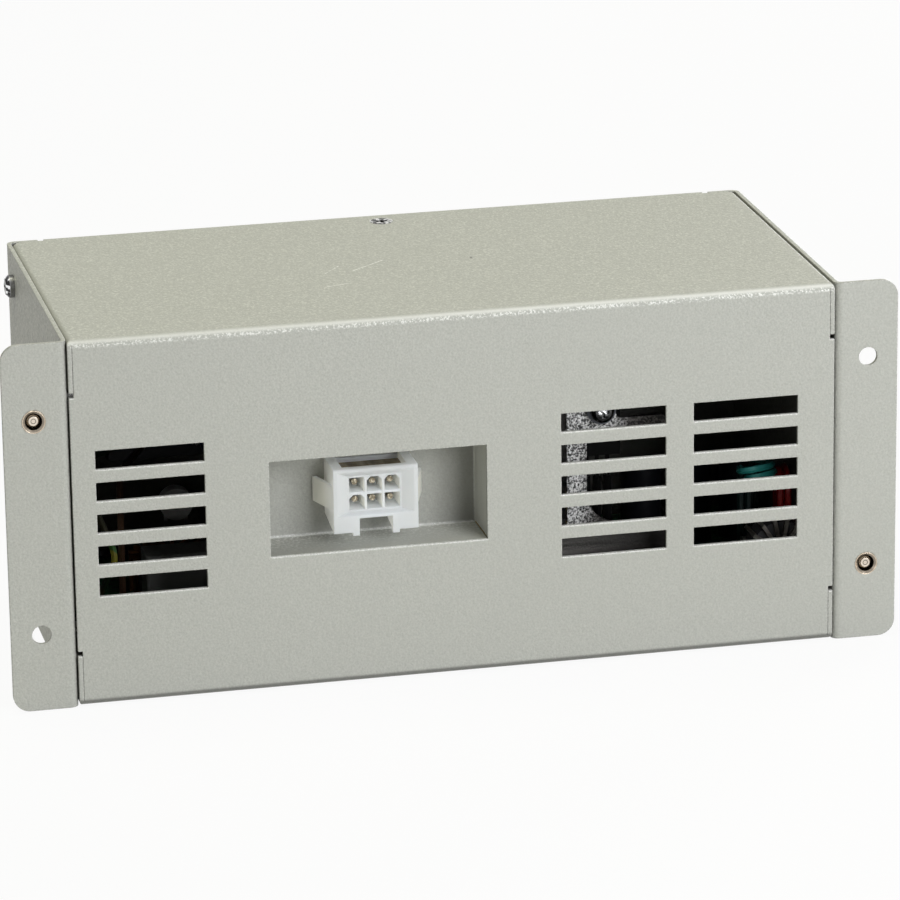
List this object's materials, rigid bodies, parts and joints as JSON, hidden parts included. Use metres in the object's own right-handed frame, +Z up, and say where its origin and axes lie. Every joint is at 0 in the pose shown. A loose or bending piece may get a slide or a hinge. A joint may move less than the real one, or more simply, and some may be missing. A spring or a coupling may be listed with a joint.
{
  "type": "redundant power supply",
  "caption": "Plug-in power supply module: folded steel box with side mounting flanges, vent slots, a recessed output connector, spring-loaded captive screws and a rear mains inlet.",
  "frame": {"origin": "middle of the underside of the box", "axes": "front face with the connector towards -Y, +X to the right seen from the front, +Z up"},
  "size_m": [0.212, 0.0916, 0.0881],
  "materials": {
    "powder_coated_steel": "fine textured powder coat",
    "zinc_plated_steel": "zinc plated",
    "nickel_plate": "bright nickel",
    "natural_nylon": "translucent moulded",
    "spring_steel": "bright drawn",
    "brass": "bright",
    "plated_brass": "tin plated",
    "board": "solder mask",
    "aluminium": "bare",
    "dark_washer": "matt",
    "black_moulding": "moulded",
    "ferrite": "sintered",
    "bobbin_plastic": "moulded",
    "winding_tape": "taped",
    "enamelled_copper": "enamelled",
    "can_sleeve": "shrunk sleeve",
    "film_box": "moulded",
    "grey_disc": "dipped",
    "glass": "clear",
    "brown_insulation": "smooth",
    "blue_insulation": "smooth",
    "green_yellow_insulation": "smooth",
    "black_insulation": "smooth",
    "teal_insulation": "smooth",
    "red_insulation": "smooth"
  },
  "bodies": {
    "housing": {"front_wrap_cover": "powder_coated_steel", "rear_chassis": "powder_coated_steel", "connector_pocket": "powder_coated_steel", "side_screws": "zinc_plated_steel", "cover_screws": "zinc_plated_steel", "board_standoffs": "zinc_plated_steel", "bracket_screw": "zinc_plated_steel", "bracket_nut": "zinc_plated_steel", "inlet_nuts": "zinc_plated_steel", "inlet_screws": "zinc_plated_steel", "screw_ferrules": "nickel_plate", "connector_housing": "natural_nylon", "connector_contacts": "brass", "inlet_blades": "plated_brass", "circuit_board": "board", "diode_bracket": "aluminium", "switch_heatsink": "aluminium", "bracket_washer": "dark_washer", "bracket_pad": "black_moulding", "isolation_diode": "black_moulding", "switch_transistor": "black_moulding", "control_chip": "black_moulding", "bridge_rectifier": "black_moulding", "mains_inlet": "black_moulding", "diode_sleeves": "black_insulation", "transformer_core": "ferrite", "output_choke_core": "ferrite", "line_choke_core": "ferrite", "transformer_bobbin": "bobbin_plastic", "transformer_winding": "winding_tape", "output_choke_winding": "enamelled_copper", "line_choke_winding": "enamelled_copper", "bulk_capacitor": "can_sleeve", "output_capacitors": "can_sleeve", "line_capacitor": "film_box", "inrush_thermistor": "grey_disc", "fuse_glass": "glass", "fuse_caps": "nickel_plate", "fuse_clips": "plated_brass", "earth_stud": "zinc_plated_steel", "earth_nut": "zinc_plated_steel", "earth_terminal": "plated_brass", "line_lead": "brown_insulation", "neutral_lead": "blue_insulation", "earth_lead": "green_yellow_insulation", "black_leads": "black_insulation", "teal_leads": "teal_insulation", "red_leads": "red_insulation"},
    "left_spring": {"left_screw_spring": "spring_steel"},
    "left_screw": {"left_captive_screw": "nickel_plate"},
    "right_spring": {"right_screw_spring": "spring_steel"},
    "right_screw": {"right_captive_screw": "nickel_plate"}
  },
  "joints": [
    {"name": "left_screw_push", "type": "slide", "parent": "housing", "child": "left_spring", "axis": [0, -1, 0], "range_m": [0, 0.0035], "stiffness_N_per_m": 200, "springref_m": -0.002, "deforming": ["left_screw_spring"]},
    {"name": "left_screw_turn", "type": "hinge", "parent": "left_spring", "child": "left_screw", "pos_m": [-0.09882, -0.0382, 0.0697], "axis": [0, 1, 0], "continuous": true},
    {"name": "right_screw_push", "type": "slide", "parent": "housing", "child": "right_spring", "axis": [0, -1, 0], "range_m": [0, 0.0035], "stiffness_N_per_m": 200, "springref_m": -0.002, "deforming": ["right_screw_spring"]},
    {"name": "right_screw_turn", "type": "hinge", "parent": "right_spring", "child": "right_screw", "pos_m": [0.09882, -0.0382, 0.0184], "axis": [0, 1, 0], "continuous": true}
  ]
}
